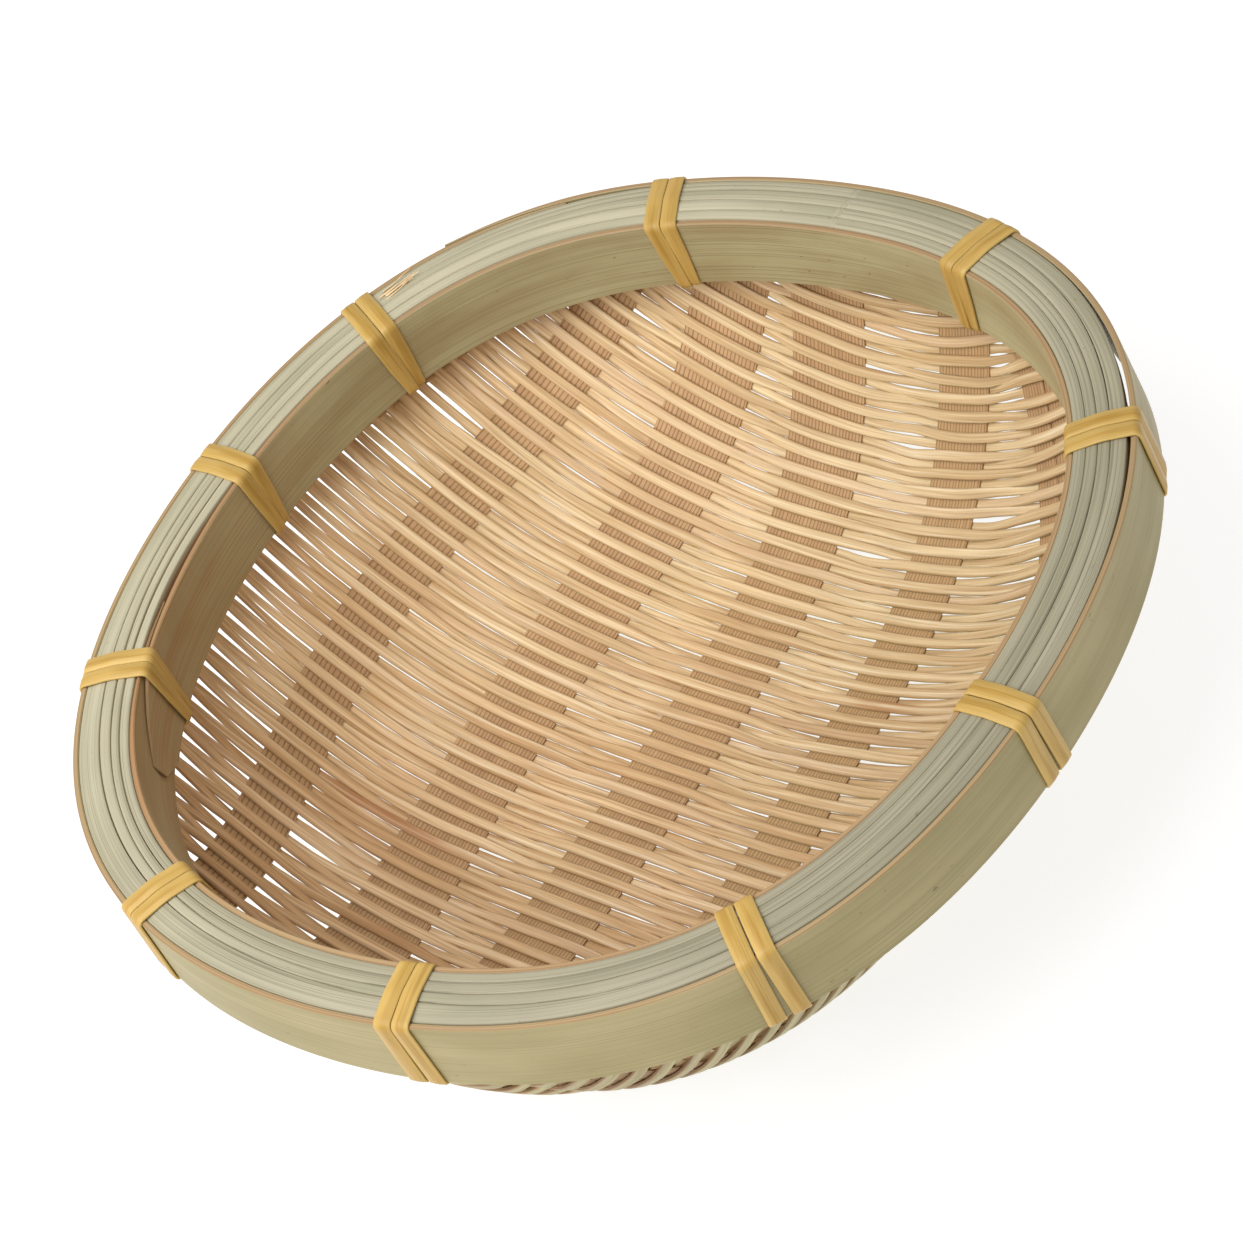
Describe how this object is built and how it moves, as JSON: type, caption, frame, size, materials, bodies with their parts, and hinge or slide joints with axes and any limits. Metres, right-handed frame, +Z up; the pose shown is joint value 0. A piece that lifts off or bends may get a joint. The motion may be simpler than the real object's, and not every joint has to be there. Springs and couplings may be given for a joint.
{
  "type": "bamboo strainer basket",
  "caption": "Shallow round woven bamboo basket: a plain-woven bowl clamped between two split-bamboo hoops, with splints packed in the rim and strip bindings wound over it.",
  "frame": {"origin": "on the resting plane, under the centre of the rim", "axes": "+Z up through the bowl's mouth, +X along the wide warp strips, +Y along the narrow weft strips"},
  "size_m": [0.2081, 0.21, 0.069],
  "materials": {
    "outer_hoop": "satin bamboo skin",
    "inner_hoop": "satin bamboo skin",
    "rim_core": "matte split bamboo",
    "filler_splints": "satin bamboo skin",
    "warp_strips": "matte split bamboo",
    "weft_strips": "matte split bamboo",
    "binding_strips": "satin split bamboo"
  },
  "bodies": {
    "root": {"outer_hoop": "outer_hoop", "inner_hoop": "inner_hoop", "rim_core": "rim_core", "filler_1": "filler_splints", "filler_2": "filler_splints", "filler_3": "filler_splints", "filler_4": "filler_splints", "warp_1": "warp_strips", "warp_2": "warp_strips", "warp_3": "warp_strips", "warp_4": "warp_strips", "warp_5": "warp_strips", "warp_6": "warp_strips", "warp_7": "warp_strips", "weft_01": "weft_strips", "weft_02": "weft_strips", "weft_03": "weft_strips", "weft_04": "weft_strips", "weft_05": "weft_strips", "weft_06": "weft_strips", "weft_07": "weft_strips", "weft_08": "weft_strips", "weft_09": "weft_strips", "weft_10": "weft_strips", "weft_11": "weft_strips", "weft_12": "weft_strips", "weft_13": "weft_strips", "weft_14": "weft_strips", "weft_15": "weft_strips", "weft_16": "weft_strips", "weft_17": "weft_strips", "weft_18": "weft_strips", "weft_19": "weft_strips", "weft_20": "weft_strips", "weft_21": "weft_strips", "weft_22": "weft_strips", "weft_23": "weft_strips", "weft_24": "weft_strips", "weft_25": "weft_strips", "weft_26": "weft_strips", "weft_27": "weft_strips", "weft_28": "weft_strips", "weft_29": "weft_strips", "binding_01": "binding_strips", "binding_02": "binding_strips", "binding_03": "binding_strips", "binding_04": "binding_strips", "binding_05": "binding_strips", "binding_06": "binding_strips", "binding_07": "binding_strips", "binding_08": "binding_strips", "binding_09": "binding_strips", "binding_10": "binding_strips"}
  },
  "joints": []
}
